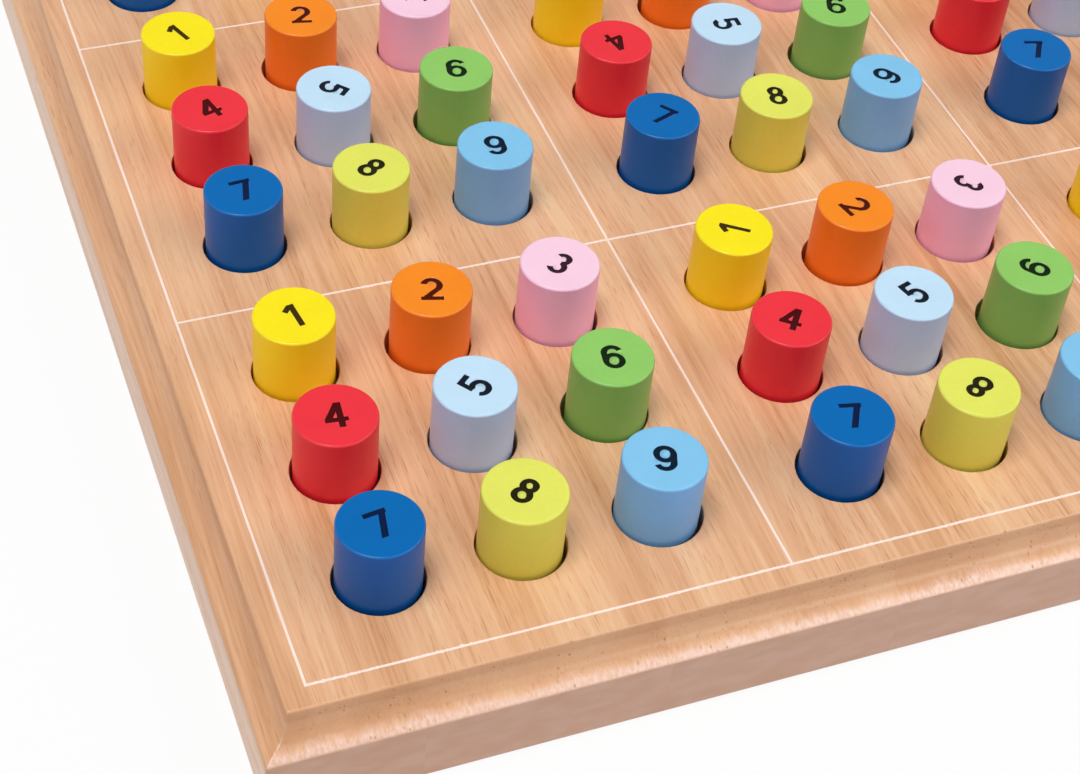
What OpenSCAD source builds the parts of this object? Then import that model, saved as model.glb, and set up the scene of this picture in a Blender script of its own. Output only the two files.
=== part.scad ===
// Sudoku board: a wooden panel with a moulded edge, white grid lines and numbered pegs in holes.
// Origin at the middle of the underside, +X to the right along the front edge, +Y to the back, +Z up.

/* [Board] */
// Thickness of the board
board_t = 22; // [18:0.5:32]
// Distance between neighbouring holes of one block
hole_pitch = 27.5; // [22:0.1:36]
// Extra distance between the holes of neighbouring blocks
block_space = 10.9; // [6:0.1:20]
// Distance from the outer white line to the side of the board
margin = 9.9; // [8:0.1:20]
// Depth of each hole
hole_depth = 10.5; // [6:0.5:14]

/* [Pegs] */
// Diameter of a peg
peg_d = 16.2; // [13:0.1:20]
// Length of a peg
peg_l = 25.5; // [18:0.5:40]
// Clearance round a peg in its hole
peg_play = 0.6; // [0.3:0.05:1.2]
// Radius of the eased rims of a peg
peg_rim_r = 0.5; // [0.3:0.1:2]

/* [Numerals] */
// Height of a numeral
numeral_h = 6.6; // [4:0.1:8]
// Width of a numeral
numeral_w = 4.5; // [3.6:0.1:5]
// Width of a numeral's stroke
numeral_stroke = 1.3; // [0.8:0.1:1.4]
// Depth to which a numeral is stamped
numeral_depth = 0.3; // [0.1:0.05:0.6]

/* [White lines] */
// Width of a line
line_w = 0.6; // [0.4:0.1:2]
// Depth of a line
line_t = 0.4; // [0.2:0.05:1]

/* [Edge moulding] */
// Height of the upright step below the top face
step_h = 2.4; // [1:0.1:4]
// Radius of the hollow
cove_r = 3.8; // [3:0.1:5]
// Radius of the swell below the hollow
swell_r = 6; // [4:0.1:8]
// Slope at which the hollow runs into the swell, in degrees
meet_slope = 16; // [10:1:30]
// Slope of the swell where it meets the side, in degrees
end_slope = 43; // [36:1:55]
// Width of the eased edges, along each face
arris_w = 0.5; // [0.2:0.1:1]

/* [Hidden] */
$fn = 64;
overrun = 1;
DIGITS = [1:9];
COLUMNS = ["left", "middle", "right"];
ROWS = ["front", "middle", "back"];
PER_SIDE = 3;

// Sizes of the board and its holes
peg_r = peg_d / 2;
hole_r = peg_r + peg_play;
hole_floor = board_t - hole_depth;
// How far a peg of each number stands off the middle of its hole, as shares of its clearance
stand_shares = [
    [-0.25, 0.1], [0.45, -0.1], [-0.3, 0.1], [0, 0], [-0.3, 0], [0.45, -0.15], [0, 0.1], [-0.35, 0],
    [-0.45, 0.2]
];
block_w = PER_SIDE * hole_pitch + block_space;
grid_w = PER_SIDE * block_w;
board_w = grid_w + 2 * margin;

// Edge moulding, measured out from the upright step and down from the top face
meet_at = [cove_r * (1 - sin(meet_slope)), -step_h - cove_r * cos(meet_slope)];
cove_at = [cove_r, -step_h];
meet_lap_share = 0.005;
swell_at = meet_at - swell_r * (1 - meet_lap_share) * [sin(meet_slope), cos(meet_slope)];
moulding_w = swell_at.x + swell_r * sin(end_slope);
moulding_h = -(swell_at.y + swell_r * cos(end_slope));

// Numerals: centre lines of straight strokes as shares of half the box of centre lines
line_box = [numeral_w - numeral_stroke, numeral_h - numeral_stroke] / 2;
bowl_r = line_box.x;
bowl_y = bowl_r - line_box.y;
belly_share = 0.54;
belly_r = line_box.y * belly_share;
belly_y = belly_r - line_box.y;
crown_r = line_box.y - belly_r;
crown_y = line_box.y - crown_r;
sector_step = 30;
stroke_shares = [
    [[[0.3, 1.5], [0.3, -1.5]], [[0.3, 1.15], [-0.9, 0.5]]],
    [[[-1.5, -1], [1.5, -1]], [[0.71, -0.02], [-1, -1.05]]],
    [],
    [[[0.5, 1.5], [0.5, -1.5]], [[-1.5, -0.45], [1.5, -0.45]], [[0.45, 1.15], [-1.05, -0.45]]],
    [[[-1.08, 1], [0.95, 1]], [[-0.7, 1.1], [-0.8, -0.09]]],
    [[[-1, -0.45], [-1, 0.45]]],
    [[[-1.5, 1], [1.5, 1]], [[0.95, 1.1], [-0.4, -1.4]]],
    [],
    [[[1, -0.45], [1, 0.45]]]
];
// Round strokes of each numeral: centre height, radius, first and last angle
bends = [
    [],
    [[-bowl_y, bowl_r, -45, 172]],
    [[crown_y, crown_r, -90, 162], [belly_y, belly_r, -162, 90]],
    [],
    [[bowl_y, bowl_r, -158, 142]],
    [[bowl_y, bowl_r, 0, 360], [-bowl_y, bowl_r, 18, 180]],
    [],
    [[belly_y, belly_r, 0, 360], [crown_y, crown_r, 0, 360]],
    [[-bowl_y, bowl_r, 0, 360], [bowl_y, bowl_r, 198, 360]]
];

// Angle that each peg is turned to, one row per block from front left to back right
turns = [
    [8, -15, -50, -5, 40, -10, 8, -52, -20],
    [55, -76, -140, -38, 18, 40, -12, 118, 30],
    [-25, 64, 12, -80, 35, -6, 140, -30, 22],
    [22, -10, 75, 16, -135, -12, 5, -61, -5],
    [-30, 45, -100, -167, -92, -20, -52, -8, 35],
    [60, -18, 25, -44, 100, 15, -15, 70, -35],
    [-12, 130, -65, 28, 9, -48, 85, -20, 50],
    [38, -28, 110, -75, 20, 65, -40, 5, -120],
    [-55, 16, -8, 92, -33, 48, 24, -70, 12]
];
paints = [
    "#fae61f", "#f68b24", "#f9cfe3", "#ec3641", "#c3e1f6", "#8fc966", "#0567b0", "#e2e562", "#83c4eb"
];

// Blocks as column and row: those with a node for each peg, and those that share nodes
SINGLE_BLOCKS = [[0, 0], [1, 0], [2, 0], [0, 1], [0, 2]];
SHARED_BLOCKS = [[1, 1], [2, 1], [1, 2], [2, 2]];
function peg_node(block, digit) = str("peg_", digit, "_", ROWS[block.y], "_", COLUMNS[block.x]);
function shared_node(digit) = str("pegs_", digit, "_back_right");

function block_at(block) = (block - [1, 1]) * block_w;
function hole_at(block, digit) =
    block_at(block) + hole_pitch * [(digit - 1) % PER_SIDE - 1, 1 - floor((digit - 1) / PER_SIDE)];
function turn_of(block, digit) = turns[block.y * PER_SIDE + block.x][digit - 1];

// Waste of an eased edge: the strip outside the line from one point to another, on its right
module ease_cut(from, to) {
    run = to - from;
    translate(from) rotate(atan2(run.y, run.x))
        translate([-overrun, -overrun]) square([norm(run) + 2 * overrun, overrun]);
}

// Waste of the moulding, with the top of its upright step at the origin and the side to the right
module moulding_cut() {
    foot = [moulding_w, -moulding_h];
    translate([0, -step_h]) square([moulding_w + overrun, step_h + overrun]);
    translate(cove_at) circle(cove_r);
    difference() {
        translate([meet_at.x, foot.y]) square([moulding_w - meet_at.x + overrun, moulding_h]);
        translate(swell_at) circle(swell_r);
    }
    ease_cut([0, -arris_w], [-arris_w, 0]);
    ease_cut(foot - [0, arris_w], foot + arris_w * [-cos(end_slope), sin(end_slope)]);
}

// Section through the board, from side to side
module section() {
    difference() {
        translate([-board_w / 2, 0]) square([board_w, board_t]);
        for (side = [0, 1]) mirror([side, 0]) {
            translate([board_w / 2 - moulding_w, board_t]) moulding_cut();
            translate([board_w / 2, 0]) ease_cut([-arris_w, 0], [0, arris_w]);
        }
    }
}

// Outline of the board from above
module plan() {
    difference() {
        square(board_w, center = true);
        for (turn = [0:90:270]) rotate(turn)
            translate([board_w, board_w] / 2) ease_cut([0, -arris_w], [-arris_w, 0]);
    }
}

// The section, extended through the board along Y
module bar() {
    translate([0, board_w / 2, 0]) rotate([90, 0, 0]) linear_extrude(board_w) section();
}

// Straight lines of the grid, seen from above
module grid_outline() {
    for (turn = [0, 90], i = [0:PER_SIDE])
        rotate(turn)
            translate([0, i * block_w - grid_w / 2]) square([grid_w + line_w, line_w], center = true);
}

module board() {
    color("#e6b68c") difference() {
        intersection() {
            bar();
            rotate(90) bar();
            linear_extrude(board_t) plan();
        }
        for (x = [0:PER_SIDE - 1], y = [0:PER_SIDE - 1], digit = DIGITS)
            translate(concat(hole_at([x, y], digit), hole_floor))
                cylinder(r = hole_r, h = hole_depth + overrun);
        translate([0, 0, board_t - line_t]) linear_extrude(line_t + overrun) grid_outline();
    }
}

module grid_lines() {
    color("#f9eee8") translate([0, 0, board_t - line_t]) linear_extrude(line_t) grid_outline();
}

// A straight stroke between two points given as shares
module stroke(from_share, to_share) {
    from = [from_share.x * line_box.x, from_share.y * line_box.y];
    to = [to_share.x * line_box.x, to_share.y * line_box.y];
    run = to - from;
    translate(from) rotate(atan2(run.y, run.x))
        translate([0, -numeral_stroke / 2]) square([norm(run), numeral_stroke]);
}

// A round stroke about a point on the numeral's middle line
module bend(height, radius, first, last) {
    reach = 2 * (radius + numeral_stroke);
    translate([0, height]) intersection() {
        difference() {
            circle(radius + numeral_stroke / 2);
            circle(radius - numeral_stroke / 2);
        }
        if (last - first < 360) {
            steps = ceil((last - first) / sector_step);
            rim = [for (i = [0:steps]) first + (last - first) * i / steps];
            polygon(concat([[0, 0]], [for (angle = rim) reach * [cos(angle), sin(angle)]]));
        } else {
            square(reach, center = true);
        }
    }
}

module numeral(digit) {
    intersection() {
        square([numeral_w, numeral_h], center = true);
        union() {
            for (ends = stroke_shares[digit - 1]) stroke(ends[0], ends[1]);
            for (b = bends[digit - 1]) bend(b[0], b[1], b[2], b[3]);
        }
    }
}

// Half section of a peg
module peg_outline() {
    square([peg_r - peg_rim_r, peg_l]);
    translate([0, peg_rim_r]) square([peg_r, peg_l - 2 * peg_rim_r]);
    for (y = [peg_rim_r, peg_l - peg_rim_r]) translate([peg_r - peg_rim_r, y]) circle(peg_rim_r);
}

module peg(block, digit) {
    color(paints[digit - 1])
        translate(concat(hole_at(block, digit) + peg_play * stand_shares[digit - 1], hole_floor))
        rotate(turn_of(block, digit))
        difference() {
            rotate_extrude() peg_outline();
            translate([0, 0, peg_l - numeral_depth]) linear_extrude(numeral_depth + overrun) numeral(digit);
        }
}

module pegs_back_right(digit) {
    for (block = SHARED_BLOCKS) peg(block, digit);
}

board();
grid_lines();
for (block = SINGLE_BLOCKS, digit = DIGITS)
    peg(block, digit);
for (digit = DIGITS)
    pegs_back_right(digit);
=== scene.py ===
"""Sudoku board: the looks of a wooden board with painted lines and numbered, painted pegs."""

import math
from itertools import product

import bmesh
import bpy
from mathutils import Matrix, Vector, noise


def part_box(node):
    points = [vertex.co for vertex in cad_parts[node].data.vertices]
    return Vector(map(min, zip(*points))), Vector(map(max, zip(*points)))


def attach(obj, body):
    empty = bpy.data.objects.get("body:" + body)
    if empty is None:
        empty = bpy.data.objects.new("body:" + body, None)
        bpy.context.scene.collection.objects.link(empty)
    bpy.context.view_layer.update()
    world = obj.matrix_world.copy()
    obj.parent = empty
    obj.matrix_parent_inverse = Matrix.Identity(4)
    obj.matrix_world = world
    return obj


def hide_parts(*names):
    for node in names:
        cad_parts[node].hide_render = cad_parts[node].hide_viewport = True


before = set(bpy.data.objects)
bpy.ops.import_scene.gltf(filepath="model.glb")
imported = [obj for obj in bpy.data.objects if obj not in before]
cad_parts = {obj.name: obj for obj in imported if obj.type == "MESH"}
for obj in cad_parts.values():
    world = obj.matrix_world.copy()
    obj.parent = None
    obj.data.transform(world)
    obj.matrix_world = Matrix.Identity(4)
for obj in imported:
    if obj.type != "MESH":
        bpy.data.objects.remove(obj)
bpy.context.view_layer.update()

# Sizes in metres. What the frame tells is read from it, and the rest is named here.
MM = 0.001
UP = Vector((0, 0, 1))
_, board_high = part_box("board")
peg_low, peg_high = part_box("peg_1_front_left")
HALF = board_high.x
TOP = board_high.z
HOLE_FLOOR = peg_low.z
PEG_TOP = peg_high.z

# Holes
PER_SIDE = 3
HOLE_PITCH = 27.5 * MM
HOLE_R = 8.7 * MM
HOLE_SIDES = 48
HOLE_RIM, HOLE_RIM_STEPS = 0.25 * MM, 3

# White lines, with how far and how often in a metre their edges stray, and what keeps two edges unlike
BLOCK_PITCH = 93.4 * MM
LINE_W = 0.5 * MM
LINE_STEP = 0.32 * MM
PAINT_PROUD = 0.03 * MM
PAINT_T = 0.1 * MM
WAVER, WAVER_RATE, WAVER_LAYER = 0.05 * MM, 160, 0.5
RUN, RUN_RATE, RUN_LAYER, RUN_FROM = 0.55 * MM, 2400, 7.5, 0.12
PATCH_RATE, PATCH_LAYER, PATCH_FROM = 70, 3.5, -0.25
LINES_APART, SIDES_APART = 10, 3

# Edge moulding
STEP_H = 2.4 * MM
COVE_R, COVE_STEPS = 3.8 * MM, 10
SWELL_R, SWELL_STEPS = 6 * MM, 5
ARRIS_R, ARRIS_STEPS = 0.5 * MM, 4
FOOT_R, FOOT_STEPS = 0.6 * MM, 3
CORNER_R, CORNER_STEPS = 0.45 * MM, 3
MEET_SLOPE = math.radians(16)
END_SLOPE = math.radians(43)

# Map for baking, in shares of its side, and the share of a hole that its wall takes there
UNDERSIDE_STRIP = 0.12
MAP_RIM = 0.004
WALL_ON_MAP = 0.35

# Pegs
NUMERAL_DEPTH = 0.3 * MM
INK_FROM, INK_TO = 0.2, 1.1  # shares of that depth
MERGE = 0.002 * MM
LEVEL = 0.99
SHARP = math.radians(35)

# Grain of the wood in millimetres across, along and up
STAVE_W, STAVE_START, STAVE_SHIFT = 47.0, 1484.0, 400.0
DRIFT, SWAY = (34, 130, 34), 9.0
FIBRE, STREAK, BAND = (0.7, 26, 0.7), (3.2, 80, 3.2), (16, 260, 16)
FIBRE_SHARE, STREAK_SHARE, BAND_SHARE, STAVE_SHARE = 0.34, 0.38, 0.28, 0.06
WOOD_SHADES = ((0.34, "ce9567"), (0.5, "e3af86"), (0.66, "ecc398"))
END_GRAIN_FROM, END_GRAIN_CALM = (0.15, 0.5), 0.75
WOOD_ROUGH, FIBRE_ROUGH, PORE_ROUGH = 0.24, 0.12, 0.2
FIBRE_HEIGHT, WOOD_RELIEF, WOOD_BUMP = 0.35, 0.06 * MM, 0.3

# Pores of the wood
PORE_EDGE, COVER_EDGE = (0.34, 0.12), (0.0, 0.08)
LONG_PORES = {"Length": 10.0, "Width": 0.55, "Cover": 0.4}
SHORT_PORES = {"Length": 5.0, "Width": 0.45, "Cover": 0.65}
END_PORES = {"Length": 10.0, "Width": 0.95, "Cover": 0.32}
LINE_PORES = {"Length": 5.0, "Width": 0.6, "Cover": 0.5}
PORE_CROWD, CROWD_FROM, CROWD_SHARE = (9, 70, 9), (0.38, 0.62), 0.65
SHORT_SHARE, PORE_SHARE, END_PORE_SHARE, SPECK_SHARE = 0.7, 0.48, 0.36, 0.6
PORE_BROWN, SPECK_BROWN = "a5603a", "96603f"

# Tones of the edge, which change between these distances and heights in millimetres
EDGE_FROM = (142.0, 143.5)
GROOVE_FROM, GROOVE_TO = (19.0, 16.8), (15.4, 16.3)
# Painted shade in the routed groove: a darker tone, weaker on the sides than on the front and back
GROOVE_SHADE, SIDE_GROOVE_SHADE = (0.8, 0.77, 0.73, 1), 0.45
# The pale ledge colour is a painted sheen, laid over end grain that is also somewhat paler
LEDGE_FROM, LEDGE_WAVE, LEDGE_PALE_SHEEN = (16.2, 15.2), 1.4, "f2d2c4"
FUZZ_FROM, LEDGE_FUZZ, LEDGE_LEAST = (0.3, 0.7), 0.62, 0.3
SAWN_FROM, RINGS, RING_FROM = (15.0, 14.4), (7, 400, 3), (0.3, 0.7)
SAWN_DARK, SAWN_PALE = "cd9d81", "d4a78f"

# Paint, with its patches in millimetres
PAINT_CLOUD, PAINT_SPECKLE = (9, 9, 9), (0.9, 0.9, 1.6)
CLOUD_TONE, SPECKLE_TONE, SPECKLE_ROUGH = 0.1, 0.06, 0.12
# Painted shade on upright walls: the paint colour is darkened and tinted there
WALL_SHADE, WALL_SHADE_TINT = 0.25, (1.1, 0.96, 1.11, 1)
# How far a surface faces up where the painted wall shade, the rim and the wall begin and end
WALL_SHADE_FROM, RIM_FROM, RIM_TO, WALL_FROM = (0.8, 0.3), (0.1, 0.3), (0.99, 0.9), (0.3, 0.1)
WALL_SHEEN, RIM_SHEEN, SHEEN_ROUGH = 0.25, 0.4, 0.25
PEG_GLOSS, PEG_SHINE, PEG_RELIEF, PEG_BUMP = 0.36, 0.09, 0.03 * MM, 0.2
LINE_WHITE, LINE_WORN, LINE_WEAR, LINE_GLOSS = "fbe6da", "e8c3a6", 0.35, 0.5
INK_SPECKLE, INK_ROUGH, INK_SPECKLE_ROUGH, INK_SHINE = (0.5, 0.5, 0.5), 0.45, 0.2, 0.06

# Slot, paint and ink of each number
PAINTS = {
    1: ("yellow_paint", "fae61f", "362806"),
    2: ("orange_paint", "f68b24", "471104"),
    3: ("pink_paint", "f9cfe3", "301824"),
    4: ("red_paint", "ec3641", "440508"),
    5: ("pale_blue_paint", "c3e1f6", "0d1522"),
    6: ("green_paint", "8fc966", "0a1e06"),
    7: ("blue_paint", "0567b0", "04183f"),
    8: ("lime_paint", "e2e562", "1e1a04"),
    9: ("sky_blue_paint", "83c4eb", "04172a"),
}

# Camera
LENS, SENSOR_W = 70.907, 36
EYE = Vector((-0.1997, -0.3526, 0.3227))
AIM = Vector((-0.0759, -0.0839, 0.0220))
ROLL = math.radians(6.1)

# Light: power, size and place of each lamp, and the floor
LAMPS = {
    "overhead_light": (29.5, (0.8, 0.8), Vector((-0.5, -0.2, 2.15))),
    "right_light": (8.0, (1.5, 0.5), Vector((0.9, -0.72, 1.02))),
    "left_light": (2.3, (1.2, 0.5), Vector((-1.2, -0.3, 0.9))),
}
AMBIENT = 0.18
FLOOR_HALF, FLOOR_DROP = 3, 0.1 * MM
FLOOR_TONE, FLOOR_ROUGH, FLOOR_GLOW = (0.86, 0.86, 0.86, 1), 0.9, 0.9


# Shader tools
def colour(code):
    """Linear colour of a six-digit sRGB code."""
    parts = [int(code[i : i + 2], 16) / 255 for i in (0, 2, 4)]
    return [c / 12.92 if c <= 0.04045 else ((c + 0.055) / 1.055) ** 2.4 for c in parts] + [1]


def add(tree, kind, inputs=(), **settings):
    """Add a shader node, with each input set to a value or linked to a socket."""
    made = tree.nodes.new(kind)
    for name, value in settings.items():
        setattr(made, name, value)
    for name, value in dict(inputs).items():
        if isinstance(value, bpy.types.NodeSocket):
            tree.links.new(value, made.inputs[name])
        else:
            made.inputs[name].default_value = value
    return made


def calc(tree, operation, *values):
    """Result of a sum on values or sockets."""
    return add(tree, "ShaderNodeMath", enumerate(values), operation=operation).outputs[0]


def times(tree, value, *others):
    """Product of values or sockets."""
    for other in others:
        value = calc(tree, "MULTIPLY", value, other)
    return value


def scaled(tree, value, share, start):
    """A share of a value, added to a start."""
    return calc(tree, "MULTIPLY_ADD", value, share, start)


def swung(tree, value, share, middle):
    """A middle that swings either way with a value from 0 to 1."""
    return scaled(tree, calc(tree, "SUBTRACT", value, 0.5), share, middle)


def ramp(tree, value, low, high):
    """A value led smoothly from 0 at low to 1 at high."""
    inputs = {"Value": value, "From Min": low, "From Max": high}
    return add(tree, "ShaderNodeMapRange", inputs, interpolation_type="SMOOTHSTEP").outputs[0]


def vector(tree, operation, first, second):
    """Result of a sum on two vectors."""
    return add(tree, "ShaderNodeVectorMath", {0: first, 1: second}, operation=operation).outputs[0]


def enlarged(tree, first, scale):
    """A vector or a colour times a value."""
    return add(tree, "ShaderNodeVectorMath", {0: first, "Scale": scale}, operation="SCALE").outputs[0]


def blend(tree, factor, first, second, kind="MIX"):
    """One colour mixed into another."""
    inputs = {0: factor, 6: first, 7: second}
    return add(tree, "ShaderNodeMix", inputs, data_type="RGBA", blend_type=kind).outputs[2]


def cloud(tree, place, size, detail=1.0, roughness=0.5):
    """Plain noise from 0 to 1, with patches of a size along each axis."""
    spot = vector(tree, "DIVIDE", place, size)
    inputs = {"Vector": spot, "Scale": 1.0, "Detail": detail, "Roughness": roughness}
    return add(tree, "ShaderNodeTexNoise", inputs).outputs["Fac"]


def split(tree, spot):
    """The three parts of a vector."""
    return add(tree, "ShaderNodeSeparateXYZ", {0: spot}).outputs


def facing(tree):
    """The three parts of the surface's direction."""
    return split(tree, add(tree, "ShaderNodeTexCoord").outputs["Normal"])


def millimetres(tree):
    """Object coordinates in millimetres."""
    return enlarged(tree, add(tree, "ShaderNodeTexCoord").outputs["Object"], 1 / MM)


def node_group(name, inputs, outputs):
    """An empty shader node group with named sockets, and its input and output nodes."""
    group = bpy.data.node_groups.new(name, "ShaderNodeTree")
    for direction, sockets in (("INPUT", inputs), ("OUTPUT", outputs)):
        for socket, kind in sockets.items():
            group.interface.new_socket(socket, in_out=direction, socket_type=f"NodeSocket{kind}")
    return group, group.nodes.new("NodeGroupInput").outputs, group.nodes.new("NodeGroupOutput").inputs


def placed(tree, group, **inputs):
    """A node group's outputs, from the values that a material gives it."""
    return add(tree, "ShaderNodeGroup", inputs, node_tree=group).outputs


def new_material(name):
    """A material with an empty Principled shader, its tree and the shader."""
    material = bpy.data.materials.new(name)
    material.use_nodes = True
    tree = material.node_tree
    return material, tree, tree.nodes["Principled BSDF"]


def relief(tree, shader, height, strength, distance):
    """Raise a shader's surface by a height."""
    inputs = {"Height": height, "Strength": strength, "Distance": distance}
    tree.links.new(add(tree, "ShaderNodeBump", inputs).outputs[0], shader.inputs["Normal"])


# Materials
def wood_pores():
    """Group: open pores of the wood, drawn out along Y, so that they are dots on end grain."""
    group, given, made = node_group(
        "Wood Pores",
        {"Place": "Vector", "Length": "Float", "Width": "Float", "Cover": "Float"},
        {"Mask": "Float"},
    )
    size = add(group, "ShaderNodeCombineXYZ", {0: given["Width"], 1: given["Length"], 2: given["Width"]})
    spot = vector(group, "DIVIDE", given["Place"], size.outputs[0])
    cell = add(group, "ShaderNodeTexVoronoi", {"Vector": spot, "Scale": 1.0}).outputs
    pick = add(group, "ShaderNodeSeparateColor", {0: cell["Color"]}).outputs[0]
    shape = ramp(group, cell["Distance"], *PORE_EDGE)
    kept = ramp(group, calc(group, "SUBTRACT", given["Cover"], pick), *COVER_EDGE)
    group.links.new(times(group, shape, kept), made["Mask"])
    return group


def paint_film():
    """Group: a coat of paint, a little uneven, darker and tinted on upright walls as painted shade, and
    shiny on them and on rims.
    """
    group, given, made = node_group(
        "Paint Film",
        {"Place": "Vector", "Colour": "Color", "Gloss": "Float"},
        {"Colour": "Color", "Roughness": "Float", "Height": "Float", "Sheen": "Float"},
    )
    broad = cloud(group, given["Place"], PAINT_CLOUD)
    fine = cloud(group, given["Place"], PAINT_SPECKLE, 2.0)
    tone = swung(group, fine, SPECKLE_TONE, swung(group, broad, CLOUD_TONE, 1.0))
    upward = facing(group)[2]
    # Painted shade: upright walls get a darker, tinted copy of the paint colour
    wall_shade = blend(group, WALL_SHADE, given["Colour"], given["Colour"], "MULTIPLY")
    wall_shade = blend(group, 1.0, wall_shade, WALL_SHADE_TINT, "MULTIPLY")
    wall_shaded = blend(group, ramp(group, upward, *WALL_SHADE_FROM), given["Colour"], wall_shade)
    rim = times(group, ramp(group, upward, *RIM_FROM), ramp(group, upward, *RIM_TO))
    wall = ramp(group, upward, *WALL_FROM)
    group.links.new(enlarged(group, wall_shaded, tone), made["Colour"])
    group.links.new(scaled(group, fine, SPECKLE_ROUGH, given["Gloss"]), made["Roughness"])
    group.links.new(fine, made["Height"])
    group.links.new(scaled(group, wall, WALL_SHEEN, times(group, rim, RIM_SHEEN)), made["Sheen"])
    return group


def wood_grain(tree, place):
    """Place in the grain, which starts anew in each stave and sways, and the stave's chance value."""
    across = calc(tree, "ADD", split(tree, place)[0], STAVE_START)
    stave = calc(tree, "FLOOR", calc(tree, "DIVIDE", across, STAVE_W))
    chance = add(tree, "ShaderNodeTexWhiteNoise", {"W": stave}, noise_dimensions="1D").outputs
    own = vector(tree, "ADD", place, enlarged(tree, chance["Color"], STAVE_SHIFT))
    sway = add(tree, "ShaderNodeCombineXYZ", {0: times(tree, cloud(tree, own, DRIFT), SWAY)})
    return vector(tree, "ADD", own, sway.outputs[0]), chance["Value"]


def pore_cover(tree, pores, grain):
    """Pores along the grain and specks on end grain, both crowded in patches."""
    long_pores, short_pores, end_pores = (
        placed(tree, pores, Place=grain, **kind)["Mask"] for kind in (LONG_PORES, SHORT_PORES, END_PORES)
    )
    crowd = ramp(tree, cloud(tree, grain, PORE_CROWD), *CROWD_FROM)
    either = calc(tree, "MAXIMUM", long_pores, times(tree, short_pores, SHORT_SHARE))
    shown = scaled(tree, crowd, CROWD_SHARE, 1 - CROWD_SHARE)
    return times(tree, either, shown), times(tree, end_pores, crowd)


def edge_tones(tree, wood, place, grain, end_grain, fibre, specks):
    """The wood with the tones of its edge: painted shade in the groove, a painted sheen on the pale ledge
    and a sawn face on end grain.
    """
    across, wall_shade, level = split(tree, place)
    across, wall_shade = (calc(tree, "ABSOLUTE", part) for part in (across, wall_shade))
    rings = cloud(tree, grain, RINGS)
    routed = ramp(tree, calc(tree, "MAXIMUM", across, wall_shade), *EDGE_FROM)

    fore = calc(tree, "GREATER_THAN", wall_shade, across)
    # Painted shade: the wood is darkened in the groove of the routed edge
    groove_shade = times(tree, routed, ramp(tree, level, *GROOVE_FROM), ramp(tree, level, *GROOVE_TO))
    groove_shade = times(tree, groove_shade, scaled(tree, fore, 1 - SIDE_GROOVE_SHADE, SIDE_GROOVE_SHADE))
    wood = blend(tree, groove_shade, wood, GROOVE_SHADE, "MULTIPLY")

    # Painted sheen on the ledge of the routed edge, broken up by the fibres
    fuzz = scaled(tree, ramp(tree, fibre, *FUZZ_FROM), LEDGE_FUZZ, LEDGE_LEAST)
    wavy = swung(tree, rings, LEDGE_WAVE, level)
    pale_ledge_sheen = times(tree, routed, ramp(tree, wavy, *LEDGE_FROM), end_grain, fuzz)
    wood = blend(tree, pale_ledge_sheen, wood, colour(LEDGE_PALE_SHEEN))
    wood = blend(tree, times(tree, specks, end_grain, SPECK_SHARE), wood, colour(SPECK_BROWN))

    sawn = blend(tree, ramp(tree, rings, *RING_FROM), colour(SAWN_DARK), colour(SAWN_PALE))
    return blend(tree, times(tree, end_grain, ramp(tree, level, *SAWN_FROM)), wood, sawn)


def bare_wood(pores):
    """Pale, sealed hardwood with its grain along Y, glued up from staves."""
    material, tree, shader = new_material("sealed_wood")
    place = millimetres(tree)
    grain, chance = wood_grain(tree, place)
    end_grain = ramp(tree, calc(tree, "ABSOLUTE", facing(tree)[1]), *END_GRAIN_FROM)
    raw_fibre = cloud(tree, grain, FIBRE, 2.0, 0.6)
    raw_streak = cloud(tree, grain, STREAK, 2.0, 0.55)
    calm = times(tree, end_grain, END_GRAIN_CALM)
    fibre, streak = (
        add(tree, "ShaderNodeMix", {0: calm, 2: raw, 3: 0.5}).outputs[0] for raw in (raw_fibre, raw_streak)
    )

    tone = scaled(tree, fibre, FIBRE_SHARE, times(tree, streak, STREAK_SHARE))
    tone = scaled(tree, cloud(tree, grain, BAND), BAND_SHARE, tone)
    tint = add(tree, "ShaderNodeValToRGB", {0: swung(tree, chance, STAVE_SHARE, tone)})
    shades = tint.color_ramp.elements
    (dark_at, dark), (middle_at, middle), (pale_at, pale) = WOOD_SHADES
    shades[0].position, shades[0].color = dark_at, colour(dark)
    shades[1].position, shades[1].color = pale_at, colour(pale)
    shades.new(middle_at).color = colour(middle)

    pore, specks = pore_cover(tree, pores, grain)
    shown = times(tree, pore, scaled(tree, end_grain, END_PORE_SHARE - PORE_SHARE, PORE_SHARE))
    pored = blend(tree, shown, tint.outputs[0], colour(PORE_BROWN))
    finish = edge_tones(tree, pored, place, grain, end_grain, raw_fibre, specks)
    tree.links.new(finish, shader.inputs["Base Color"])

    rough = scaled(tree, pore, PORE_ROUGH, scaled(tree, fibre, FIBRE_ROUGH, WOOD_ROUGH))
    tree.links.new(rough, shader.inputs["Roughness"])
    height = calc(tree, "SUBTRACT", times(tree, fibre, FIBRE_HEIGHT), pore)
    relief(tree, shader, height, WOOD_BUMP, WOOD_RELIEF)
    return material


def line_paint(film, pores):
    """White line paint, thin where it has run into the pores of the wood."""
    material, tree, shader = new_material("line_paint")
    place = millimetres(tree)
    coat = placed(tree, film, Place=place, Colour=colour(LINE_WHITE), Gloss=LINE_GLOSS)
    worn = times(tree, placed(tree, pores, Place=place, **LINE_PORES)["Mask"], LINE_WEAR)
    tree.links.new(blend(tree, worn, coat["Colour"], colour(LINE_WORN)), shader.inputs["Base Color"])
    tree.links.new(coat["Roughness"], shader.inputs["Roughness"])
    return material


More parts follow.
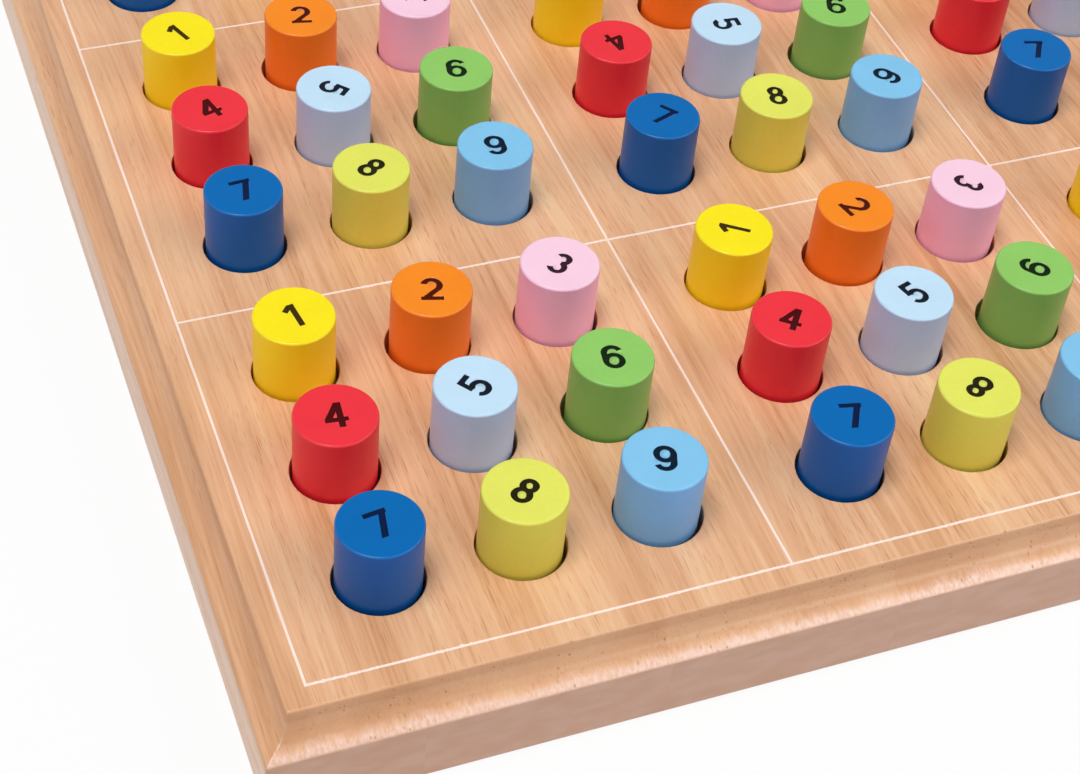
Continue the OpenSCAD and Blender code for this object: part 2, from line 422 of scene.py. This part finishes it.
def peg_paint(slot, code, film):
    """Satin paint of one number."""
    material, tree, shader = new_material(f"satin_{slot}")
    coat = placed(tree, film, Place=millimetres(tree), Colour=colour(code), Gloss=PEG_GLOSS)
    tree.links.new(coat["Colour"], shader.inputs["Base Color"])
    tree.links.new(coat["Roughness"], shader.inputs["Roughness"])
    tree.links.new(coat["Sheen"], shader.inputs["Coat Weight"])
    shader.inputs["Coat Roughness"].default_value = SHEEN_ROUGH
    shader.inputs["Specular IOR Level"].default_value = PEG_SHINE
    relief(tree, shader, coat["Height"], PEG_BUMP, PEG_RELIEF)
    return material


def stamp_ink(slot, code):
    """Flat black stamping ink, toned by the paint below it."""
    material, tree, shader = new_material(f"ink_on_{slot}")
    shader.inputs["Base Color"].default_value = colour(code)
    shader.inputs["Specular IOR Level"].default_value = INK_SHINE
    fine = cloud(tree, millimetres(tree), INK_SPECKLE, 2.0)
    tree.links.new(scaled(tree, fine, INK_SPECKLE_ROUGH, INK_ROUGH), shader.inputs["Roughness"])
    return material


# Mesh tools
def finished(name, bm, materials, body, node):
    """Turn a mesh into a visible piece that rides on a body and stands for a CAD node."""
    mesh = bpy.data.meshes.new(name)
    bm.to_mesh(mesh)
    bm.free()
    for material in materials:
        mesh.materials.append(material)
    mesh.shade_smooth()
    mesh.set_sharp_from_angle(angle=SHARP)
    piece = bpy.data.objects.new(name, mesh)
    bpy.context.scene.collection.objects.link(piece)
    piece.modifiers.new("flat_faces", "WEIGHTED_NORMAL").keep_sharp = True
    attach(piece, body)
    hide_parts(node)


def arc(centre, radius, first, last, steps):
    """Points round a centre, between two angles."""
    turns = (first + (last - first) * i / steps for i in range(steps + 1))
    return [(centre[0] + radius * math.cos(turn), centre[1] + radius * math.sin(turn)) for turn in turns]


def sweep(bm, edges, centre, steps, flat):
    """Draw a closed loop of edges through steps of reach from the centre, height and reach on the map."""
    for (reach, height, _), (next_reach, next_height, map_reach) in zip(steps, steps[1:]):
        made = bmesh.ops.extrude_edge_only(bm, edges=edges)["geom"]
        verts = [part for part in made if isinstance(part, bmesh.types.BMVert)]
        edges = [part for part in made if isinstance(part, bmesh.types.BMEdge) and part.is_boundary]
        grow = next_reach / reach
        bmesh.ops.scale(bm, vec=(grow, grow, 1), verts=verts, space=Matrix.Translation(-centre))
        bmesh.ops.translate(bm, vec=(0, 0, next_height - height), verts=verts)
        for vert in verts:
            vert[flat] = centre + (vert.co - centre) * (map_reach / next_reach)
    return bmesh.ops.edgeloop_fill(bm, edges=edges)["faces"]


# Board
def moulding_steps():
    """Outline of the board's edge from the top face down to the underside, as reach and height."""
    quarter = math.pi / 2
    sine, cosine = math.sin(MEET_SLOPE), math.cos(MEET_SLOPE)
    meet = COVE_R * (1 - sine), -STEP_H - COVE_R * cosine
    swell = meet[0] - SWELL_R * sine, meet[1] - SWELL_R * cosine
    foot = swell[0] + SWELL_R * math.sin(END_SLOPE), swell[1] + SWELL_R * math.cos(END_SLOPE)
    foot_turn = quarter - END_SLOPE
    foot_run = FOOT_R * math.tan(foot_turn / 2)
    outline = arc((-ARRIS_R, -ARRIS_R), ARRIS_R, quarter, 0, ARRIS_STEPS)
    outline += arc((COVE_R, -STEP_H), COVE_R, 2 * quarter, 3 * quarter - MEET_SLOPE, COVE_STEPS)
    outline += arc(swell, SWELL_R, quarter - MEET_SLOPE, foot_turn + foot_run / SWELL_R, SWELL_STEPS)[1:]
    outline += arc((foot[0] - FOOT_R, foot[1] - foot_run), FOOT_R, foot_turn, 0, FOOT_STEPS)
    outline += arc((foot[0] - ARRIS_R, ARRIS_R - TOP), ARRIS_R, 0, -quarter, ARRIS_STEPS)
    return [(HALF - foot[0] + out, TOP + height) for out, height in outline]


def unrolled(steps):
    """The steps with their reach on the map, where the edge is laid out flat round the top face."""
    laid = [steps[0][0]]
    for (reach, height), (next_reach, next_height) in zip(steps, steps[1:]):
        laid.append(laid[-1] + math.hypot(next_reach - reach, next_height - height))
    return [(*step, out) for step, out in zip(steps, laid)]


def hole_steps():
    """Outline of a hole from its rim to its floor, which the map shows as if from above."""
    outline = arc((HOLE_R + HOLE_RIM, -HOLE_RIM), HOLE_RIM, math.pi / 2, math.pi, HOLE_RIM_STEPS)
    outline.append((HOLE_R, HOLE_FLOOR - TOP))
    return [(out, TOP + low, out * (1 + WALL_ON_MAP * low / (TOP - HOLE_FLOOR))) for out, low in outline]


def hole_centres():
    """Middle of each hole on the top face."""
    steps = range(-1, 2)
    for column, row, x, y in product(steps, repeat=4):
        yield Vector((column * BLOCK_PITCH + x * HOLE_PITCH, row * BLOCK_PITCH + y * HOLE_PITCH, TOP))


def lay_out(bm, flat, laid_half, underside):
    """Map for baking: the top with its edge round it, and a strip for the underside beside that."""
    room = (1 - UNDERSIDE_STRIP - 2 * MAP_RIM) / (2 * laid_half)
    strip_start, strip_w = 1 - UNDERSIDE_STRIP + MAP_RIM, UNDERSIDE_STRIP - 2 * MAP_RIM
    layer = bm.loops.layers.uv.new("OFBake")
    for face in bm.faces:
        for corner in face.loops:
            x, y, _ = corner.vert[flat]
            corner[layer].uv = MAP_RIM + (x + laid_half) * room, MAP_RIM + (y + laid_half) * room
    for face in underside:
        for corner in face.loops:
            x, y, _ = (corner.vert.co / HALF + Vector((1, 1, 0))) / 2
            corner[layer].uv = strip_start + y * strip_w, MAP_RIM + x * (1 - 2 * MAP_RIM)


def wooden_board(material):
    """The panel with its routed edge and its holes."""
    bm = bmesh.new()
    flat = bm.verts.layers.float_vector.new("flat")
    edge_steps, steps = unrolled(moulding_steps()), hole_steps()
    lift = Matrix.Translation(TOP * UP)
    made = bmesh.ops.create_grid(bm, x_segments=1, y_segments=1, size=edge_steps[0][0], matrix=lift)
    bmesh.ops.bevel(
        bm, geom=made["verts"], offset=CORNER_R, offset_type="OFFSET", segments=CORNER_STEPS, profile=0.5,
        affect="VERTICES", material=-1,
    )
    bmesh.ops.delete(bm, geom=bm.faces[:], context="FACES_ONLY")
    outer = bm.edges[:]
    holes = []
    for centre in hole_centres():
        spot = Matrix.Translation(centre)
        ring = bmesh.ops.create_circle(bm, segments=HOLE_SIDES, radius=steps[0][0], matrix=spot)
        holes.append((centre, list({edge for vert in ring["verts"] for edge in vert.link_edges})))
    for vert in bm.verts:
        vert[flat] = vert.co
    bmesh.ops.triangle_fill(bm, use_beauty=True, edges=bm.edges[:], normal=UP)
    underside = sweep(bm, outer, Vector(), edge_steps, flat)
    for centre, ring in holes:
        sweep(bm, ring, centre, steps, flat)
    lay_out(bm, flat, edge_steps[-1][2], underside)
    bmesh.ops.recalc_face_normals(bm, faces=bm.faces[:])
    finished("wood_board", bm, [material], "board", "board")


# White lines
def strayed(place, across, along):
    """How far a painted edge strays: a slow waver, and short runs of paint along the grain."""
    waver = WAVER * noise.noise(Vector((place * WAVER_RATE, along, WAVER_LAYER)))
    if across:
        return waver
    run = noise.noise(Vector((place * RUN_RATE, along, RUN_LAYER)))
    patch = noise.noise(Vector((place * PATCH_RATE, along, PATCH_LAYER)))
    return waver + RUN * max(0, run - RUN_FROM) * max(0, patch - PATCH_FROM)


def painted_lines(material):
    """The grid of white lines, a thin coat just proud of the wood."""
    bm = bmesh.new()
    cells, half = 2 * PER_SIDE + 1, PER_SIDE + 0.5
    made = bmesh.ops.create_grid(bm, x_segments=cells, y_segments=cells, size=half)
    half_w = LINE_W / 2
    for vert in made["verts"]:
        spot = []
        for share in vert.co.xy:
            index = round(share + half)
            spot.append((index // 2 - PER_SIDE / 2) * BLOCK_PITCH + (half_w if index % 2 else -half_w))
        vert.co = *spot, TOP + PAINT_PROUD
    blocks = [face for face in bm.faces if face.calc_area() > BLOCK_PITCH**2 / 2]
    bmesh.ops.delete(bm, geom=blocks, context="FACES")
    sides = [edge for edge in bm.edges if edge.calc_length() > BLOCK_PITCH / 2]
    bmesh.ops.subdivide_edges(bm, edges=sides, cuts=round(BLOCK_PITCH / LINE_STEP), use_grid_fill=True)
    for vert in bm.verts:
        x, y = ((value / BLOCK_PITCH + PER_SIDE / 2) for value in vert.co.xy)
        lean = [value - round(value) for value in (x, y)]
        upright = abs(lean[0]) < abs(lean[1])
        axis = 0 if upright else 1
        side = math.copysign(1, lean[axis])
        line = round(x if upright else y)
        along = LINES_APART * line + SIDES_APART * side
        vert.co[axis] += side * strayed(vert.co[1 - axis], upright, along)
    bmesh.ops.solidify(bm, geom=bm.faces[:], thickness=PAINT_T)
    bmesh.ops.recalc_face_normals(bm, faces=bm.faces[:])
    finished("painted_lines", bm, [material], "board", "grid_lines")


# Pegs
def painted_peg(node, paint, ink):
    """A node's peg or pegs, with the floor of each stamped numeral inked."""
    bm = bmesh.new()
    bm.from_mesh(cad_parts[node].data)
    bmesh.ops.remove_doubles(bm, verts=bm.verts[:], dist=MERGE)
    for face in bm.faces:
        depth = (PEG_TOP - face.calc_center_median().z) / NUMERAL_DEPTH
        face.material_index = int(face.normal.z > LEVEL and INK_FROM < depth < INK_TO)
    finished(f"painted_{node}", bm, [paint, ink], node, node)


# Stage
def seen(tree):
    """1 for what the camera sees, straight, mirrored or through glass, and 0 for light on surfaces."""
    path = add(tree, "ShaderNodeLightPath").outputs
    direct = calc(tree, "MAXIMUM", path["Is Camera Ray"], path["Is Glossy Ray"])
    return calc(tree, "MAXIMUM", direct, path["Is Transmission Ray"])


def white_room():
    """White surroundings that light the object only a little."""
    world = bpy.data.worlds.new("white_room")
    bpy.context.scene.world = world
    world.use_nodes = True
    tree = world.node_tree
    background = tree.nodes["Background"].inputs
    background["Color"].default_value = (1, 1, 1, 1)
    tree.links.new(scaled(tree, seen(tree), 1 - AMBIENT, AMBIENT), background["Strength"])


def pale_floor():
    """Plain floor that shows a light shadow."""
    material, tree, shader = new_material("pale_floor")
    shader.inputs["Base Color"].default_value = FLOOR_TONE
    shader.inputs["Roughness"].default_value = FLOOR_ROUGH
    shader.inputs["Specular IOR Level"].default_value = 0
    glow = add(tree, "ShaderNodeEmission")
    share = times(tree, seen(tree), FLOOR_GLOW)
    mixed = add(tree, "ShaderNodeMixShader", {0: share, 1: shader.outputs[0], 2: glow.outputs[0]})
    tree.links.new(mixed.outputs[0], tree.nodes["Material Output"].inputs["Surface"])

    bm = bmesh.new()
    drop = Matrix.Translation(-FLOOR_DROP * UP)
    bmesh.ops.create_grid(bm, x_segments=1, y_segments=1, size=FLOOR_HALF, matrix=drop)
    mesh = bpy.data.meshes.new("floor")
    bm.to_mesh(mesh)
    bm.free()
    floor = bpy.data.objects.new("floor", mesh)
    bpy.context.scene.collection.objects.link(floor)
    mesh.materials.append(material)


def lamp(name, power, size, place):
    """A soft light panel that faces the board."""
    light = bpy.data.lights.new(name, "AREA")
    light.energy = power
    light.shape = "RECTANGLE"
    light.size, light.size_y = size
    made = bpy.data.objects.new(name, light)
    bpy.context.scene.collection.objects.link(made)
    made.location = place
    made.rotation_euler = (-place).to_track_quat("-Z", "Y").to_euler()


def camera():
    """The photograph's view."""
    data = bpy.data.cameras.new("camera")
    data.sensor_width = SENSOR_W
    data.lens = LENS
    made = bpy.data.objects.new("camera", data)
    bpy.context.scene.collection.objects.link(made)
    turn = (AIM - EYE).to_track_quat("-Z", "Y").to_matrix().to_4x4()
    made.matrix_world = Matrix.Translation(EYE) @ turn @ Matrix.Rotation(ROLL, 4, "Z")
    bpy.context.scene.camera = made


bpy.context.scene.view_settings.view_transform = "Standard"
camera()
white_room()
pale_floor()
for name, settings in LAMPS.items():
    lamp(name, *settings)

pores = wood_pores()
film = paint_film()
wooden_board(bare_wood(pores))
painted_lines(line_paint(film, pores))
for number, (slot, paint_code, ink_code) in PAINTS.items():
    paint, ink = peg_paint(slot, paint_code, film), stamp_ink(slot, ink_code)
    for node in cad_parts:
        if node.startswith((f"peg_{number}_", f"pegs_{number}_")):
            painted_peg(node, paint, ink)
